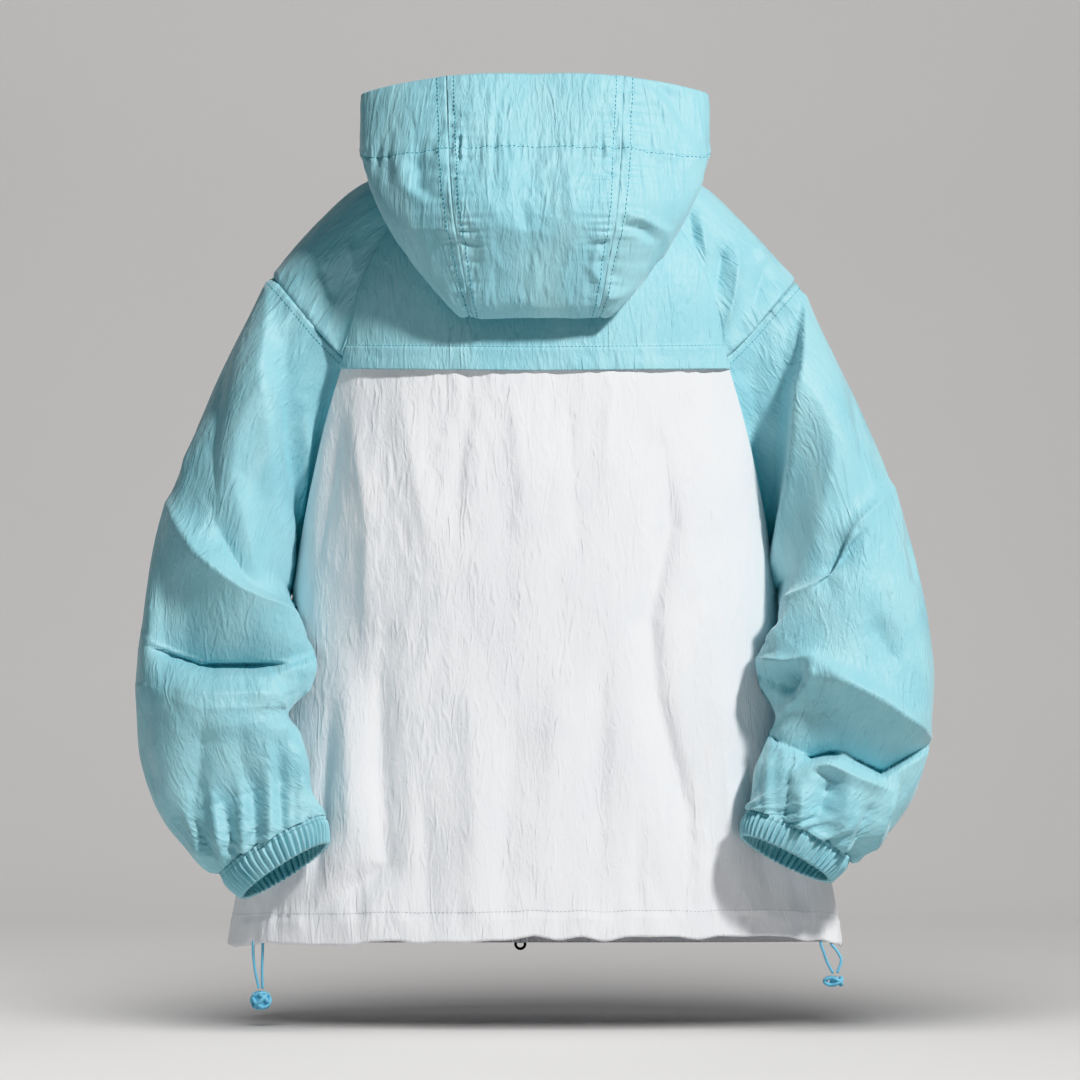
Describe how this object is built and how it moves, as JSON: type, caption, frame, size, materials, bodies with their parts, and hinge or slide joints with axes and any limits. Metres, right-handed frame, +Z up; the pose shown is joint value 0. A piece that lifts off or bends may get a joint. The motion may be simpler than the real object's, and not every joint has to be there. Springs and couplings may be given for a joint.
{
  "type": "windbreaker jacket",
  "caption": "Hooded zip windbreaker with raglan sleeves, gathered cuffs, a yoked back and a drawcord hem, hollow and filled out as worn.",
  "frame": {"origin": "middle of the neck base between the shoulders, where a wearer's shoulders carry the jacket", "axes": "+Z up, the front faces -Y, +X is the wearer's left"},
  "size_m": [0.7183, 0.2985, 0.8492],
  "materials": {
    "nylon_aqua": "crinkled, slight sheen",
    "nylon_white": "crinkled, slight sheen",
    "zip_tape": "matt woven tape",
    "zip_black": "satin",
    "cord_blue": "braided"
  },
  "bodies": {
    "jacket": {"back_yoke": "nylon_aqua", "back_panel": "nylon_white", "front_left": "nylon_white", "front_right": "nylon_white", "shoulder_left": "nylon_aqua", "shoulder_right": "nylon_aqua", "sleeve_left": "nylon_aqua", "sleeve_right": "nylon_aqua", "cuff_left": "nylon_aqua", "cuff_right": "nylon_aqua", "hood_left": "nylon_aqua", "hood_centre": "nylon_aqua", "hood_right": "nylon_aqua", "zip_tape_left": "zip_tape", "zip_tape_right": "zip_tape", "slider_lower": "zip_black", "slider_lower_eye": "zip_black", "slider_upper": "zip_black", "slider_upper_eye": "zip_black", "cord_left_outer": "cord_blue", "cord_left_inner": "cord_blue", "cord_right_outer": "cord_blue", "cord_right_inner": "cord_blue", "knot_left": "cord_blue", "knot_right": "cord_blue"},
    "lower_pull": {"pull_lower": "zip_black"},
    "upper_pull": {"pull_upper": "zip_black"}
  },
  "joints": [
    {"name": "lower_pull_swing", "type": "hinge", "parent": "jacket", "child": "lower_pull", "pos_m": [0.01399, -0.12803, -0.68941], "axis": [1, 0, 0], "range_deg": [-120, 20]},
    {"name": "upper_pull_swing", "type": "hinge", "parent": "jacket", "child": "upper_pull", "pos_m": [0, -0.10511, -0.07656], "axis": [1, 0, 0], "range_deg": [-120, 4]}
  ]
}
